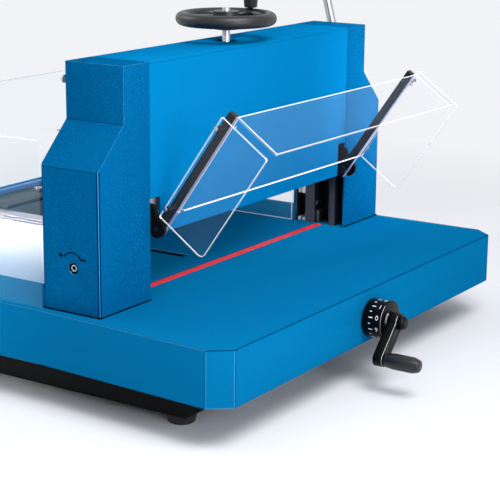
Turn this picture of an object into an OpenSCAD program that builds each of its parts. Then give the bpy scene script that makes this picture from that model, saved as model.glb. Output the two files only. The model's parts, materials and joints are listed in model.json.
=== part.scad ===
// Table-top stack paper cutter with a hinged clear front guard, in millimetres.
// X runs along the cut, Y to the rear, Z up. The origin is the centre of the four
// mounting bolts, on the underside of the base rails.

/* [Opening] */
// Clear width between the two columns
cut_w = 436; // [380:2:480]
// Height of the raised knife edge above the table
cut_h = 78; // [70:1:84]
// Front face of the columns, measured from the centre of the mounting bolts
face_y = -200; // [-230:5:-180]

/* [Table] */
// Height of the table surface above the underside of the base
table_h = 100; // [94:1:120]
// Height of the folded apron round the table
apron_h = 63.8; // [58:0.2:70]
// Thickness of the table sheet
table_t = 3; // [2:0.5:4]
// Table in front of the column faces
table_front = 181; // [160:1:200]
// Table behind the column faces
table_rear = 560; // [550:5:640]
// Overhang of the table past the left column, at the front
over_left_front = 25; // [12:1:30]
// Overhang of the table past the left column, at the rear
over_left_rear = 11; // [4:1:20]
// Overhang of the table past the right column, at the front
over_right_front = 4; // [2:1:20]
// Overhang of the table past the right column, at the rear
over_right_rear = 0.5; // [0:0.5:10]
// Width of the bevelled front corners
corner_w = 20; // [10:1:40]
// Depth of the bevelled front corners
corner_d = 24; // [10:1:30]

/* [Base] */
// Gap from the table side to the base rail
base_in_x = 20; // [16:1:30]
// Length of the base rails
base_len = 600; // [560:10:620]
// Width of the base rails
rail_w = 48; // [44:1:56]
// Wall of the base rails
rail_t = 4; // [3:0.5:6]
// Distance of the mounting bolts in from the outer side of the rails
bolt_in = 30; // [22:1:31]
// Bolt spacing along the base
bolt_y = 500; // [460:5:520]
// Radius of the mounting bolt holes
bolt_r = 4.5; // [3:0.5:6]
// Height of the rubber feet
foot_h = 12; // [8:1:20]
// Radius of the rubber feet
foot_r = 18; // [12:1:20]

/* [Columns] */
// Width of each column
col_w = 92; // [88:1:110]
// Depth of each column
col_d = 81; // [80:1:90]
// Thickness of the cover sheet
cover_t = 2.5; // [1.5:0.5:3]
// Height of the head above the table
head_h = 272; // [268:1:290]
// Height at which the outer face turns inwards
shoulder_z = 162; // [140:1:180]
// Width of the sloping shoulder
shoulder = 46; // [40:1:46]
// Bend radius of the covers
bend_r = 3.5; // [2.5:0.5:5]
// Thickness of the cast side frames
frame_t = 12; // [8:1:12]
// Depth of the guide bars in from the column's open side
bar_in = 27; // [22:1:30]

/* [Cutting stick] */
// Distance from the column face to the front of the stick
stick_y = 33.8; // [32:0.2:34]
// Width of the stick
stick_w = 11; // [8:0.5:12]
// Height of the stick
stick_h = 10; // [6:1:12]
// Thickness of the steel bed under the stick
bed_t = 8; // [5:1:10]

/* [Knife] */
// Cutting plane behind the column face
knife_y = 37; // [36.5:0.1:37.2]
// Thickness of the knife
knife_t = 6.5; // [5:0.5:7]
// Height of the knife
knife_h = 62; // [50:1:64]
// Height of the knife carrier
carrier_h = 60; // [50:1:64]
// Distance the raised knife sticks out below its carrier
knife_below = 20; // [16:1:22]
// Gap left between the lowered knife and the stick
knife_gap = 0.6; // [0.4:0.1:1]

/* [Drive] */
// Tooth module of the sectors and racks
tooth_m = 3; // [3:0.5:3]
// Tooth count of a full wheel of the sector's size
tooth_n = 32; // [32:1:32]
// Drive shaft behind the column face
shaft_y = 62; // [62:0.1:62.4]
// Drive shaft below the top of the head
shaft_drop = 100; // [97:1:100]
// Radius of the drive shaft
shaft_r = 7; // [6:0.5:8]
// Thickness of the tooth sectors
sector_t = 14; // [10:1:18]
// Distance of each sector in from the column
sector_in = 53; // [40:1:78]
// Lean of the raised lever behind the vertical
lever_lean = 15; // [0:1:30]
// Length of the hand lever
lever_len = 470; // [380:5:500]
// Radius of the lever bar
lever_r = 9; // [7:0.5:10]

/* [Clamp] */
// Front of the clamp beam behind the column face
clamp_y = 38.5; // [38:0.1:39]
// Depth of the clamp beam
clamp_d = 31; // [26:0.5:32]
// Height of the clamp beam
clamp_h = 36; // [28:1:38]
// Height of the raised clamp above the table
clamp_z = 76; // [72:1:78]
// Clamp screw behind the column face
screw_y = 46.6; // [46.4:0.1:46.8]
// Radius of the clamp screw
screw_r = 5; // [4:0.5:5]
// Outer radius of the clamp nut tube
tube_r = 8; // [7.5:0.25:8]
// Radius of the hand wheel
wheel_r = 62; // [45:1:75]

/* [Front guard] */
// Guard pivot in front of the column face
pivot_fwd = 7.5; // [7:0.5:12]
// Guard pivot above the table
pivot_z = 84.4; // [82:0.2:88]
// Angle of the open guard above the horizontal
guard_open = 55; // [45:0.5:60]
// Length of the guard arms
arm_len = 168; // [160:1:172]
// Width of the guard arms
arm_w = 10.4; // [9:0.2:14]
// Thickness of the guard arms
arm_t = 8.3; // [5:0.1:9]
// Distance of the guard arms in from the column
arm_in = 10; // [9:1:12]
// Thickness of the clear sheet
sheet_t = 3; // [2:0.5:4]
// Start of the main sheet from the pivot
sheet_u = 29.4; // [28:0.2:45]
// Start of the side cheeks from the pivot
cheek_u = 20; // [18:0.5:30]
// Depth of the side cheeks
cheek_v = 71; // [50:0.5:72]
// Height of the side cheeks above the middle of the arms
cheek_top = 1.5; // [1:0.5:4]
// Middle of the side cheeks past the inner side of the column
cheek_out = 7.5; // [4:0.5:8]
// Radius of the guard pin
pin_r = 3; // [2.5:0.5:3.5]

/* [Back gauge] */
// Rest position of the gauge face behind the column face
gauge_y = 220; // [200:5:235]
// Depth of the gauge from front to rear
gauge_d = 54; // [50:1:74]
// Height of the gauge
gauge_h = 80; // [70:1:86]
// Travel of the gauge towards the knife
gauge_fwd = 140; // [100:5:140]
// Travel of the gauge to the rear
gauge_back = 240; // [200:5:260]
// Spindle position left of the middle
spindle_x = 30; // [20:1:40]
// Depth of the spindle below the table surface
spindle_drop = 35; // [33:1:38]
// Radius of the gauge spindle
spindle_r = 6; // [5:0.5:7]
// Radius of the numbered dial
dial_r = 23; // [18:0.5:24]
// Length of the numbered dial
dial_len = 25; // [16:1:30]
// Length of the crank between its centres
crank_len = 50; // [40:1:55]
// Thickness of the crank arm
crank_t = 12; // [8:1:14]
// Angle of the crank arm below the horizontal, towards the left
crank_tilt = 46; // [0:1:90]

/* [Side guide and rear guard] */
// Thickness of the side guide
lay_t = 21; // [19:1:26]
// Side guide past the left column's open side
lay_in = 5; // [4:0.5:8]
// Height of the side guide
lay_h = 76; // [60:1:78]
// Length of the side guide
lay_len = 460; // [400:10:460]
// Height of the rear guard
rear_h = 190; // [150:5:220]
// Length of the rear guard
rear_len = 340; // [250:10:400]
// Thickness of the rear guard sheet
rear_t = 3; // [2:0.5:5]

/* [Adjusting screws] */
// Adjusting screw behind the column face
adj_y = 37; // [30:0.5:50]
// Adjusting screw above the table
adj_z = 52; // [45:0.5:60]
// Radius of the hole in the column cover
adj_hole_r = 6.5; // [6:0.5:8]
// Radius of the screw head
adj_head_r = 4; // [3.5:0.5:5.5]

/* [Hidden] */
$fn = 48;

blue = "#0070b2";
steel = "#b9bcc0";
dark = "#2f3640";
black = "#101114";
fit = 0.05;
gap = 0.3;
half = cut_w / 2;
outer = half + col_w;
base_h = table_h - apron_h;
rear_y = face_y + table_rear;
col_rear = face_y + col_d;
inner_x = half + 0.5;
side_x = inner_x + bar_in;
travel = cut_h - knife_gap;
shaft_z = head_h - shaft_drop;
bar_clear = 20;
tube_clear = 18;
screw_over = 40;
bore_over = 45;
bearing_t = 14;
bearing_in = 26;
bearing_r = 16;
gauge_bolt_y = 30;
bolt_end = 38;
clip_back = 2.3;
clip_t = 4.7;
pitch_r = tooth_m * tooth_n / 2;
rack_y = shaft_y - pitch_r;
lever_turn = travel / pitch_r * 180 / PI;
clamp_travel = clamp_z - 1;
shaft_at = [0, face_y + shaft_y, table_h + shaft_z];
screw_at = [0, face_y + screw_y, table_h];
beam_z = [head_h - 44, head_h - 20];
tube_top = beam_z[0] - tube_clear;
wheel_z = table_h + head_h + 22;
spindle_at = [-spindle_x, face_y - table_front, table_h - spindle_drop];
carrier_z = cut_h + knife_below;
knife_front = knife_y - knife_t;
bar_front = [15, 25];
bar_rear = [47, 62];
liner_y = [col_d - 5.5, col_d - 3.3];
ear_end = inner_x + 3;
notch_w = 19;
notch_top = 118;
bracket_t = 6;
arm_x = half - arm_in;
cheek_x = half + cheek_out;
sector_x = half - sector_in;
adj_shank_r = adj_head_r - 1;
beam_y = [30, col_d - 6];

// A block between two corners given as ranges along X, Y and Z.
module block(x, y, z) {
    translate([x[0], y[0], z[0]]) cube([x[1] - x[0], y[1] - y[0], z[1] - z[0]]);
}

// A block placed from the column face and the table surface.
module part_block(x, y, z) {
    translate([0, face_y, table_h]) block(x, y, z);
}

// A rod along X through a point in Y and Z.
module rod_x(r, x, y, z) {
    translate([x[0], y, z]) rotate([0, 90, 0]) cylinder(r = r, h = x[1] - x[0]);
}

// A rod along Y through a point in X and Z.
module rod_y(r, x, y, z) {
    translate([x, y[0], z]) rotate([-90, 0, 0]) cylinder(r = r, h = y[1] - y[0]);
}

// A rectangle with rounded corners, lying from the origin.
module soft_rect(w, d, r) {
    translate([r, 0]) square([w - 2 * r, d]);
    translate([0, r]) square([w, d - 2 * r]);
    for (x = [r, w - r], y = [r, d - r]) translate([x, y]) circle(r);
}

module mirrored() {
    children();
    mirror([1, 0, 0]) children();
}

// Plan of the table, drawn in by the given amount on every side.
function table_plan(t) = [
    [-outer - over_left_rear + t, rear_y - t],
    [-outer - over_left_rear + t, col_rear],
    [-outer - over_left_front + t, face_y - table_front + corner_d + t / 2],
    [-outer - over_left_front + corner_w + t / 2, face_y - table_front + t],
    [outer + over_right_front - corner_w - t / 2, face_y - table_front + t],
    [outer + over_right_front - t, face_y - table_front + corner_d + t / 2],
    [outer + over_right_rear - t, col_rear],
    [outer + over_right_rear - t, rear_y - t]
];

gauge_mid = gauge_y + gauge_d / 2;
neck_l = 40;
slot_y = [gauge_mid - neck_l / 2 - gauge_fwd - 1, gauge_mid + neck_l / 2 + gauge_back + 1];
neck_w = 12;

module table_top() {
    color(blue) difference() {
        translate([0, 0, base_h]) linear_extrude(apron_h) polygon(table_plan(0));
        translate([0, 0, base_h - 1]) linear_extrude(apron_h - table_t + 1) polygon(table_plan(table_t));
        part_block([-half - 1, half + 1], [stick_y - gap, stick_y + stick_w + gap], [-table_t - 1, 1]);
        mirrored() part_block([side_x - 1, side_x + frame_t + 1], [3, col_d - 3], [-table_t - 1, 1]);
        part_block([-spindle_x - neck_w / 2 - 1, -spindle_x + neck_w / 2 + 1], slot_y, [-table_t - 1, 1]);
        rod_y(spindle_r + 2, spindle_at[0], [spindle_at[1] - 1, spindle_at[1] + table_t + 1], spindle_at[2]);
    }
}

base_x = outer - base_in_x;

module base_side_rails() {
    color(black) mirrored() difference() {
        block([base_x - rail_w, base_x], [-base_len / 2, base_len / 2], [0, base_h]);
        block([base_x - rail_w + rail_t, base_x - rail_t],
            [-base_len / 2 + rail_t, base_len / 2 - rail_t], [rail_t, base_h - rail_t]);
        for (s = [-1, 1]) translate([base_x - bolt_in, s * bolt_y / 2, -1]) cylinder(r = bolt_r, h = rail_t + 2);
    }
}

module base_cross_rails() {
    color(black) for (s = [-1, 1])
        block([-base_x + rail_w, base_x - rail_w],
            [s * (base_len / 2 - rail_w / 2) - rail_w / 2, s * (base_len / 2 - rail_w / 2) + rail_w / 2],
            [0, base_h - 8]);
}

module feet() {
    color("#1b1b1d") for (x = [-1, 1], y = [-1, 1])
        translate([x * (base_x - foot_r - 2), y * (base_len / 2 - foot_r - 2), -foot_h])
            cylinder(r1 = foot_r - 3, r2 = foot_r, h = foot_h);
}

module stick_bed() {
    color(black) difference() {
        part_block([-side_x, side_x], [stick_y - bed_t, stick_y + stick_w + bed_t],
            [-table_t - stick_h - bed_t, -table_t]);
        part_block([-side_x - 1, side_x + 1], [stick_y, stick_y + stick_w], [-stick_h, 1]);
    }
}

module cutting_stick() {
    color("#de3e48") part_block([-half + 0.5, half - 0.5], [stick_y, stick_y + stick_w], [-stick_h, 0]);
}

// Cast side frame that stands on the base rail inside a column.
module side_frame() {
    difference() {
        translate([0, face_y, 0]) block([side_x, side_x + frame_t], [4, col_d - 4], [base_h, table_h + head_h - 8]);
        rod_x(shaft_r + 4, [side_x - 1, side_x + frame_t + 1], shaft_at[1], shaft_at[2]);
        rod_x(adj_shank_r + fit, [side_x - 1, side_x + frame_t + 1], face_y + adj_y, table_h + adj_z);
    }
}

module left_side_frame() { color(dark) mirror([1, 0, 0]) side_frame(); }
module right_side_frame() { color(dark) side_frame(); }

// The bars that guide the knife carrier in front and the clamp behind, and a liner at the rear.
module guide_bars() {
    part_block([inner_x, side_x], bar_front, [0, head_h - 50]);
    part_block([inner_x, side_x], bar_rear, [0, shaft_z - bar_clear]);
    part_block([inner_x + 4, side_x], [bar_rear[0] - 5, bar_rear[0]], [0, 17]);
    part_block([inner_x + 2, side_x], [bar_rear[0] - 3.5, bar_rear[0]], [25, 31]);
    part_block([inner_x, side_x], liner_y, [0, head_h - 50]);
}

module left_guide_bars() { color(dark) mirror([1, 0, 0]) guide_bars(); }
module right_guide_bars() { color(dark) guide_bars(); }

// Small bright clips in the rear slot of each column.
module guide_fittings() {
    color(steel) mirrored() for (z = [[0.3, 5], [39, 60]]) {
        part_block([ear_end + 0.5, side_x], [bar_rear[1] + clip_back, bar_rear[1] + clip_back + clip_t], z);
        part_block([ear_end + 0.5, side_x], [liner_y[0] - 3.2, liner_y[0]], z);
    }
}

// Outline of a column seen from the front, drawn in by the given amount.
function column_plan(t) = [
    [half, -1],
    [outer - t, -1],
    [outer - t, shoulder_z - t * 0.41],
    [outer - shoulder - t, shoulder_z + shoulder - t * 0.41],
    [outer - shoulder - t, head_h - t],
    [half, head_h - t]
];

module column_shell(t) {
    intersection() {
        translate([0, face_y + col_d - t, table_h]) rotate([90, 0, 0])
            linear_extrude(col_d - 2 * t) polygon(column_plan(t));
        translate([half - 20, face_y + t, table_h - 2])
            linear_extrude(head_h + 4) soft_rect(col_w + 20 - t, col_d - 2 * t, bend_r - t + 0.01);
    }
}

module column_cover(lever_side) {
    difference() {
        intersection() {
            column_shell(0);
            block([half, outer + 1], [face_y - 1, col_rear + 1], [table_h, table_h + head_h + 1]);
        }
        translate([-0.01, 0, -2]) column_shell(cover_t);
        rod_x(adj_hole_r, [outer - 10, outer + 1], face_y + adj_y, table_h + adj_z);
        if (lever_side) rod_x(shaft_r + 13 + gap, [half + 10, outer + 1], shaft_at[1], shaft_at[2]);
    }
}

module left_column_cover() { color(blue) mirror([1, 0, 0]) column_cover(false); }
module right_column_cover() { color(blue) column_cover(true); }

panel_x = half - 0.5;
panel_z = cut_h - 3;

module front_panel() {
    color(blue) difference() {
        part_block([-panel_x, panel_x], [0, cover_t], [panel_z, head_h - cover_t]);
        mirrored() part_block([half - notch_w, half + 1], [-1, cover_t + 1], [panel_z - 1, notch_top]);
    }
}

module top_cover() {
    color(blue) difference() {
        part_block([-panel_x, panel_x], [0, col_d], [head_h - cover_t, head_h]);
        translate(screw_at) cylinder(r = screw_r + 9, h = head_h + 1);
    }
}

module rear_panel() {
    color(blue) part_block([-panel_x, panel_x], [col_d - cover_t, col_d], [panel_z + 20, head_h - cover_t]);
}

collar_r = screw_r + 4;

module crossbeam() {
    color(dark) difference() {
        union() {
            part_block([-side_x, side_x], beam_y, beam_z);
            mirrored() part_block([sector_x - 15, sector_x + 25], beam_y, [beam_z[1], head_h - cover_t]);
        }
        translate(screw_at) cylinder(r = collar_r + fit, h = head_h);
    }
}

module crossbeam_bolts() {
    color(steel) mirrored() for (y = [beam_y[0] + 12, beam_y[1] - 11])
        rod_x(5.5, [side_x + frame_t, side_x + frame_t + 3.5], face_y + y, table_h + (beam_z[0] + beam_z[1]) / 2);
}

module shaft_bushes() {
    color("#b08d57") mirrored() difference() {
        rod_x(shaft_r + 4, [side_x, side_x + frame_t], shaft_at[1], shaft_at[2]);
        rod_x(shaft_r + fit, [side_x - 1, side_x + frame_t + 1], shaft_at[1], shaft_at[2]);
    }
}

lever_x = outer + 4;

module lever_bearing() {
    color(black) difference() {
        rod_x(shaft_r + 13, [side_x + frame_t, lever_x - 1], shaft_at[1], shaft_at[2]);
        rod_x(shaft_r + fit, [side_x + frame_t - 1, lever_x], shaft_at[1], shaft_at[2]);
    }
}

pivot_at = [0, face_y - pivot_fwd, table_h + pivot_z];

ear_x = [inner_x - bracket_t, half - gap];
ear_r = 10.5;

// Ear of the guard hinge, bolted to the side of the front guide bar.
module guard_bracket() {
    difference() {
        union() {
            part_block([inner_x - bracket_t, inner_x], [cover_t + 1, bar_front[1]], [panel_z + 6, notch_top - 6]);
            translate([ear_x[0], face_y, table_h]) rotate([90, 0, 90]) linear_extrude(ear_x[1] - ear_x[0])
                polygon([
                    [cover_t + 1, notch_top - 6], [-1, notch_top - 6], [-pivot_fwd + 3.5, notch_top - 8],
                    [-pivot_fwd - 1, pivot_z + 15], [-pivot_fwd - ear_r + 0.5, pivot_z + 3], [-pivot_fwd, pivot_z],
                    [-pivot_fwd + ear_r / 2, pivot_z - ear_r + 1.5], [cover_t + 1, pivot_z - 3]
                ]);
            rod_x(ear_r, ear_x, pivot_at[1], pivot_at[2]);
        }
        rod_x(pin_r, [inner_x - bracket_t - 1, inner_x + 1], pivot_at[1], pivot_at[2]);
    }
}

module guard_brackets() { color(black) mirrored() guard_bracket(); }

module guard_pins() {
    color(dark) mirrored() {
        rod_x(pin_r, [arm_x - arm_t - 2, ear_x[1]], pivot_at[1], pivot_at[2]);
        rod_x(pin_r + 3, [arm_x + gap, inner_x - bracket_t], pivot_at[1], pivot_at[2]);
        rod_x(pin_r + 2, [arm_x - arm_t - 4, arm_x - arm_t - gap], pivot_at[1], pivot_at[2]);
    }
}

// Left rear cheek stands outside the left column, the right one inside the opening.
module rear_guard() {
    color([0.85, 0.95, 1, 0.35]) {
        part_block([-outer - rear_t, -outer], [col_d + 1, col_d + rear_len], [gap, rear_h]);
        part_block([half - rear_t, half], [col_d + 1, col_d + rear_len], [gap, rear_h]);
        part_block([-outer - rear_t, half], [col_d + 1, col_d + rear_len], [rear_h - rear_t, rear_h]);
    }
}

tab_w = 30;
tab_h = 22;
tab_t = 2;

// Angles that hold the top of the rear guard to the back of the head.
module rear_guard_brackets() {
    color(steel) for (x = [-half - tab_w - 7, -tab_w / 2, half - tab_w - 18]) {
        part_block([x, x + tab_w], [col_d, col_d + tab_t], [rear_h, rear_h + tab_h]);
        part_block([x, x + tab_w], [col_d + tab_t, col_d + tab_h], [rear_h, rear_h + tab_t]);
    }
}

lay_x = [-half - lay_t + lay_in, -half + lay_in];
lay_y = [col_d + 2, col_d + lay_len];

module side_guide() {
    color("#e9ebef") part_block(lay_x, lay_y, [0, lay_h - 5.8]);
}

module side_guide_cap() {
    color("#a9adb6") {
        part_block([lay_x[0] + 3, lay_x[1] - 3], [lay_y[0] + 3, lay_y[1] - 3], [lay_h - 5.8, lay_h - 1]);
        part_block(lay_x, lay_y, [lay_h - 5, lay_h - 2.4]);
        part_block(lay_x, lay_y, [lay_h - 1.6, lay_h]);
    }
}

bearing_y = [
    [-table_front + table_t, -table_front + table_t + bearing_t],
    [table_rear - bearing_in, table_rear - bearing_in + bearing_t]
];

module spindle_bearings() {
    color(dark) for (y = bearing_y) difference() {
        part_block([-spindle_x - bearing_r, -spindle_x + bearing_r], y, [-spindle_drop - bearing_r + 2, -table_t]);
        rod_y(spindle_r + fit, spindle_at[0], [face_y + y[0] - 1, face_y + y[1] + 1], spindle_at[2]);
    }
}

bolt_step = (half - bolt_end) / 3;

module knife_carrier() {
    color(dark) difference() {
        union() {
            part_block([-half + 12, half - 12], [12, knife_front], [carrier_z, carrier_z + carrier_h]);
            part_block([-side_x + 3, side_x - 3], [bar_front[1] + gap, knife_front], [carrier_z, carrier_z + carrier_h]);
        }
        for (i = [-3:3]) rod_y(4, i * bolt_step, [face_y + 11, face_y + knife_front + 1], table_h + carrier_z + 12);
        mirrored() part_block([sector_x - sector_t / 2 - 1, sector_x + sector_t / 2 + 1],
            [11, knife_front + 1], [shaft_z - 13.5, head_h]);
    }
}

bevel_h = 15;

// The knife has its bevel on the front, so its rear face is the cutting plane.
module knife() {
    color("#c9ccd1") difference() {
        translate([-half - 8, face_y, table_h + cut_h]) rotate([90, 0, 90]) linear_extrude(cut_w + 16)
            polygon([
                [knife_y, 0], [knife_y, knife_h], [knife_front, knife_h],
                [knife_front, bevel_h], [knife_y - 0.4, 0]
            ]);
        for (i = [-3:3]) rod_y(4, i * bolt_step, [face_y + knife_front - 1, face_y + knife_front + 4],
            table_h + carrier_z + 12);
    }
}

module knife_bolts() {
    color(steel) for (i = [-3:3]) {
        rod_y(4, i * bolt_step, [face_y + 12, face_y + knife_front + 4], table_h + carrier_z + 12);
        rod_y(7, i * bolt_step, [face_y + 7, face_y + 12], table_h + carrier_z + 12);
    }
}

pitch = PI * tooth_m;
rack_low = shaft_z - 10;
rack_high = shaft_z + travel + 8;

// Straight teeth that face the rear, one gap level with the drive shaft.
module rack() {
    root = rack_y - 1.25 * tooth_m;
    foot_y = 12;
    part_block([-sector_t / 2, sector_t / 2], [4, root], [carrier_z + 6, rack_high]);
    part_block([-sector_t / 2, sector_t / 2], [root, foot_y], [carrier_z + 6, rack_low - 6]);
    translate([-sector_t / 2, face_y, table_h]) rotate([90, 0, 90]) linear_extrude(sector_t)
        for (i = [0:floor((travel + 6) / pitch)])
            let (z = shaft_z + (i + 0.5) * pitch)
            polygon([
                [root - 0.5, z - pitch / 4 - 1.25 * tooth_m * tan(20) + 0.1],
                [rack_y + tooth_m, z - pitch / 4 + tooth_m * tan(20) + 0.1],
                [rack_y + tooth_m, z + pitch / 4 - tooth_m * tan(20) - 0.1],
                [root - 0.5, z + pitch / 4 + 1.25 * tooth_m * tan(20) - 0.1]
            ]);
}

module racks() { color(steel) for (s = [-1, 1]) translate([s * sector_x, 0, 0]) rack(); }

module drive_shaft() {
    color(steel) rod_x(shaft_r, [-side_x - frame_t - 3, lever_x + 18], shaft_at[1], shaft_at[2]);
}

function inv(a) = tan(a) - a * PI / 180;
base_r = pitch_r * cos(20);
tip_r = pitch_r + tooth_m;
root_r = pitch_r - 1.25 * tooth_m;
function flank(r) = 90 / tooth_n - 0.12 - (inv(acos(base_r / r)) - inv(20)) * 180 / PI;
flank_r = [for (i = [0:5]) base_r + 0.001 + (tip_r - base_r) * i / 5];

// One tooth of the sector, pointing along +X.
module tooth() {
    lower = [for (r = flank_r) [r * cos(-flank(r)), r * sin(-flank(r))]];
    upper = [for (i = [5:-1:0]) [flank_r[i] * cos(flank(flank_r[i])), flank_r[i] * sin(flank(flank_r[i]))]];
    foot = flank(flank_r[0]);
    polygon(concat([[(root_r - 2) * cos(foot), -(root_r - 2) * sin(foot)]], lower, upper,
        [[(root_r - 2) * cos(foot), (root_r - 2) * sin(foot)]]));
}

tooth_step = 360 / tooth_n;
tooth_count = ceil(lever_turn / tooth_step) + 1;

module sector() {
    difference() {
        union() {
            linear_extrude(sector_t) {
                for (i = [0:tooth_count - 1]) rotate(180 - i * tooth_step) tooth();
                intersection() {
                    circle(root_r);
                    polygon(concat([[0, 0]], [for (i = [-1:tooth_count])
                        let (a = 180 - (i + (i < 0 ? 0.5 : (i == tooth_count ? -0.5 : 0))) * tooth_step)
                        [2 * root_r * cos(a), 2 * root_r * sin(a)]]));
                }
            }
            cylinder(r = shaft_r + 4, h = sector_t);
        }
        translate([0, 0, -1]) cylinder(r = shaft_r, h = sector_t + 2);
    }
}

module sectors() {
    color(steel) for (s = [-1, 1])
        translate([s * sector_x - sector_t / 2, shaft_at[1], shaft_at[2]]) rotate([90, 0, 90]) sector();
}

hub_len = 18;

module lever_hub() {
    color(black) difference() {
        union() {
            rod_x(20, [lever_x, lever_x + hub_len], shaft_at[1], shaft_at[2]);
            translate(shaft_at) rotate([-lever_lean, 0, 0])
                translate([lever_x + hub_len / 2, 0, 16]) cylinder(r = lever_r - 0.2, h = 24);
        }
        rod_x(shaft_r, [lever_x - 1, lever_x + hub_len + 1], shaft_at[1], shaft_at[2]);
        translate(shaft_at) rotate([-lever_lean, 0, 0])
            translate([lever_x + hub_len / 2, 0, 22]) cylinder(r = lever_r - 3, h = 30);
    }
}

module lever_bar() {
    color(steel) translate(shaft_at) rotate([-lever_lean, 0, 0])
        translate([lever_x + hub_len / 2, 0, 22]) cylinder(r = lever_r - 3, h = lever_len - 22);
}

grip_len = 124;

module lever_grip() {
    color(black) translate(shaft_at) rotate([-lever_lean, 0, 0])
        translate([lever_x + hub_len / 2, 0, lever_len - grip_len + 4]) difference() {
            union() {
                cylinder(r = lever_r + 5, h = grip_len);
                translate([0, 0, grip_len]) sphere(r = lever_r + 5);
            }
            translate([0, 0, -1]) cylinder(r = lever_r - 3, h = grip_len - 3);
        }
}

clamp_at = [0, face_y + clamp_y, table_h + clamp_z];
tube_len = tube_top - clamp_z - clamp_h;

module clamp_beam() {
    color(dark) {
        part_block([-half + 2, half - 2], [clamp_y, clamp_y + clamp_d], [clamp_z, clamp_z + clamp_h]);
        mirrored() part_block([half - 2, ear_end], [bar_rear[1] + 1, clamp_y + clamp_d], [clamp_z, clamp_z + clamp_h]);
    }
}

module clamp_tube() {
    color(steel) translate([0, face_y + screw_y, table_h + clamp_z + clamp_h]) difference() {
        cylinder(r = tube_r, h = tube_len);
        translate([0, 0, 3]) cylinder(r = screw_r + fit, h = tube_len);
    }
}

module clamp_screw() {
    low = clamp_z + clamp_h + 5;
    color(steel) {
        translate([0, screw_at[1], table_h + low]) cylinder(r = screw_r, h = head_h + screw_over - low);
        translate([0, screw_at[1], table_h + beam_z[0]]) cylinder(r = collar_r, h = beam_z[1] - beam_z[0]);
        translate([0, screw_at[1], table_h + beam_z[1] + gap]) cylinder(r = collar_r + 3, h = 6);
        translate([0, screw_at[1], table_h + beam_z[0] - 6 - gap]) cylinder(r = collar_r + 3, h = 6);
    }
}

knob_at = [wheel_r - 8, screw_at[1], wheel_z + 10];

module hand_wheel() {
    color(black) translate([0, screw_at[1], wheel_z]) difference() {
        union() {
            rotate_extrude() translate([wheel_r - 8, 5]) circle(8);
            translate([0, 0, -8]) cylinder(r = 16, h = 22);
            for (a = [0, 120, 240]) rotate(a) translate([10, -6, 0]) cube([wheel_r - 20, 12, 9]);
        }
        translate([0, 0, -bore_over / 2]) cylinder(r = screw_r, h = bore_over);
        translate([wheel_r - 8, 0, -bore_over / 2]) cylinder(r = 3 + fit, h = bore_over);
    }
}

module wheel_knob() {
    color(black) translate([knob_at[0], knob_at[1], wheel_z]) {
        cylinder(r = 3, h = 15);
        translate([0, 0, 14]) cylinder(r1 = 8, r2 = 11, h = 30);
        translate([0, 0, 44]) cylinder(r = 11, h = 4);
    }
}

// Places a part of the guard: X stays, local -Y runs along the arm, local -Z is the front side.
module on_guard() { translate(pivot_at) rotate([-guard_open, 0, 0]) children(); }

hub_r = 11;

module guard_arm() {
    on_guard() difference() {
        translate([arm_x - arm_t, 0, 0]) rotate([90, 0, 90]) linear_extrude(arm_t) {
            intersection() {
                circle(hub_r);
                translate([-hub_r, -arm_w / 2]) square([2 * hub_r, arm_w / 2 + hub_r]);
            }
            translate([-arm_len, -arm_w / 2]) square([arm_len, arm_w]);
            polygon([[0, hub_r], [-24, arm_w / 2], [-24, 0], [0, 0]]);
        }
        rod_x(pin_r + fit, [arm_x - arm_t - 1, arm_x + 1], 0, 0);
    }
}

module left_guard_arm() { color(dark) mirror([1, 0, 0]) guard_arm(); }
module right_guard_arm() { color(dark) guard_arm(); }

lip_v = cheek_v - 3;
sheet_v = arm_w / 2;

// Main sheet with a bent lip at its free edge, which closes the front when the guard is down.
module guard_sheet() {
    color([0.85, 0.95, 1, 0.35]) on_guard()
        translate([-arm_x, 0, 0]) rotate([90, 0, 90]) linear_extrude(2 * arm_x) {
            translate([-arm_len, -sheet_v - sheet_t]) square([arm_len - sheet_u, sheet_t]);
            translate([-arm_len - sheet_t, -lip_v]) square([sheet_t, lip_v - sheet_v - sheet_t]);
            intersection() {
                translate([-arm_len, -sheet_v - sheet_t]) circle(sheet_t);
                translate([-arm_len - sheet_t, -sheet_v - sheet_t]) square(sheet_t);
            }
        }
}

module guard_cheek() {
    on_guard() translate([cheek_x - sheet_t / 2, -arm_len, cheek_top - cheek_v]) rotate([90, 0, 90])
        linear_extrude(sheet_t) difference() {
            soft_rect(arm_len - cheek_u, cheek_v, 3);
            translate([arm_len - cheek_u - 8, 0]) difference() {
                translate([0, -1]) square([9, 9]);
                translate([0, 8]) circle(8);
            }
        }
}

module left_guard_cheek() { color([0.85, 0.95, 1, 0.35]) mirror([1, 0, 0]) guard_cheek(); }
module right_guard_cheek() { color([0.85, 0.95, 1, 0.35]) guard_cheek(); }

spacer_u = [cheek_u + 14, arm_len - 15];
spacer_v = 1;
spacer_r = 2.5;

module guard_spacers() {
    color(steel) on_guard() mirrored() for (u = spacer_u)
        rod_x(spacer_r, [arm_x, cheek_x - sheet_t / 2], -u, -spacer_v);
}

module guard_screws() {
    color(steel) on_guard() mirrored() {
        for (u = spacer_u) rod_x(spacer_r, [cheek_x + sheet_t / 2, cheek_x + sheet_t / 2 + 1.5], -u, -spacer_v);
        for (u = [sheet_u + 4, arm_len - 12])
            translate([arm_x - arm_t / 2, -u, -sheet_v - sheet_t - 1.5]) cylinder(r = spacer_r, h = 1.5);
    }
}

gauge_x = [-half + lay_in + 1, half - rear_t - 4];
plate_t = 8;
gauge_bolt_in = 92;

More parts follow.
